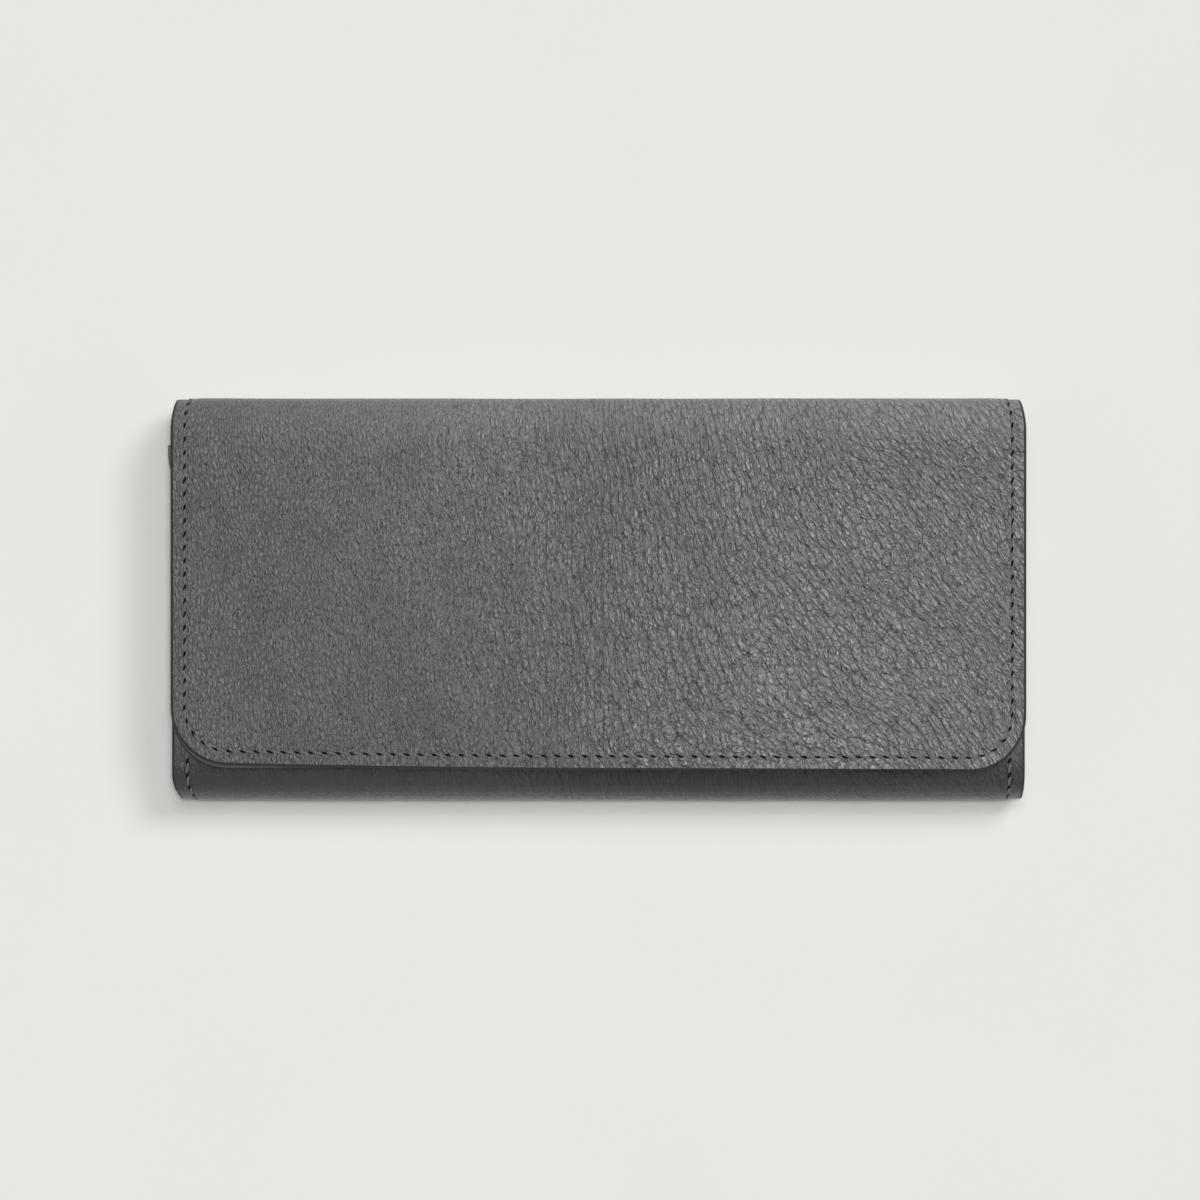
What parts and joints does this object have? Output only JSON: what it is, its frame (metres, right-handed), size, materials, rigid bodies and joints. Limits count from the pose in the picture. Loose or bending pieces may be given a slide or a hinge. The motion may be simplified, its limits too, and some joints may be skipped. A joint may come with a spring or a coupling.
{
  "type": "continental wallet",
  "caption": "Long flap-over wallet with a folding spine, gusseted note room, card slots, zipped coin pocket and a press magnet under the flap.",
  "frame": {"origin": "under the middle of the closed wallet, on the plane of the back panel's outer face", "axes": "+X along the wallet's length to the right as seen from the flap, +Y from the bottom fold to the top fold, +Z out of the back panel towards the flap"},
  "size_m": [0.2024, 0.0942, 0.0223],
  "materials": {
    "grained_leather": "pebbled full-grain cowhide, satin",
    "lining_leather": "smooth split leather",
    "stiffening_board": "bonded leather board",
    "pouch_cloth": "plain woven lining cloth",
    "zip_chain": "woven tape with cut metal teeth",
    "zip_metal": "bright nickel plated",
    "snap_steel": "nickel plated steel"
  },
  "bodies": {
    "back": {"back_shell": "grained_leather", "back_board": "stiffening_board", "back_lining": "lining_leather", "back_slot_left_1": "lining_leather", "back_slot_left_2": "lining_leather", "back_slot_left_3": "lining_leather", "back_slot_right_1": "lining_leather", "back_slot_right_2": "lining_leather", "back_slot_right_3": "lining_leather", "bottom_fold_back": "grained_leather", "bottom_fold_front": "grained_leather", "bottom_lining": "lining_leather", "gusset_left": "lining_leather", "gusset_right": "lining_leather", "fold_back_shell": "grained_leather", "fold_back_lining": "lining_leather"},
    "spine": {"spine_shell": "grained_leather", "spine_lining": "lining_leather"},
    "flap": {"fold_flap_shell": "grained_leather", "fold_flap_lining": "lining_leather", "flap_shell": "grained_leather", "flap_board": "stiffening_board", "flap_lining": "lining_leather", "snap_plate": "snap_steel", "snap_plate_washer": "snap_steel"},
    "front": {"front_shell": "grained_leather", "front_board": "stiffening_board", "front_lining": "lining_leather", "front_slip_left": "lining_leather", "front_slip_right": "lining_leather", "snap_ring": "snap_steel", "snap_ring_washer": "snap_steel"},
    "divider": {"coin_wall_back": "lining_leather", "coin_wall_front": "lining_leather", "coin_pouch": "pouch_cloth", "zip_half_back": "zip_chain", "zip_half_front": "zip_chain", "zip_stop": "zip_metal"},
    "slider": {"zip_slider": "zip_metal"},
    "pull": {"zip_pull": "zip_metal"}
  },
  "joints": [
    {"name": "spine_fold", "type": "hinge", "parent": "back", "child": "spine", "pos_m": [0, 0.04466, 0.00244], "axis": [-1, 0, 0], "range_deg": [0, 90], "deforming": ["fold_back_shell", "fold_back_lining"]},
    {"name": "flap_fold", "type": "hinge", "parent": "spine", "child": "flap", "pos_m": [0, 0.04466, 0.01986], "axis": [-1, 0, 0], "range_deg": [0, 90], "deforming": ["fold_flap_shell", "fold_flap_lining"]},
    {"name": "front_fan", "type": "hinge", "parent": "back", "child": "front", "pos_m": [0, -0.0385, 0.01655], "axis": [1, 0, 0], "range_deg": [0, 13.5], "deforming": ["gusset_left", "gusset_right"]},
    {"name": "divider_fan", "type": "hinge", "parent": "back", "child": "divider", "pos_m": [0, -0.042, 0.0094], "axis": [1, 0, 0], "range_deg": [0, 6.75]},
    {"name": "zip_slide", "type": "slide", "parent": "divider", "child": "slider", "axis": [-1, 0, 0], "range_m": [0, 0.14], "deforming": ["zip_half_back", "zip_half_front"]},
    {"name": "pull_swing", "type": "hinge", "parent": "slider", "child": "pull", "pos_m": [0.07, 0.029, 0.0086], "axis": [0, 0, -1], "range_deg": [0, 180]}
  ],
  "couplings": [
    {"joint": "front_fan", "follows": "flap_fold", "ratio": 0.15},
    {"joint": "divider_fan", "follows": "flap_fold", "ratio": 0.075}
  ]
}
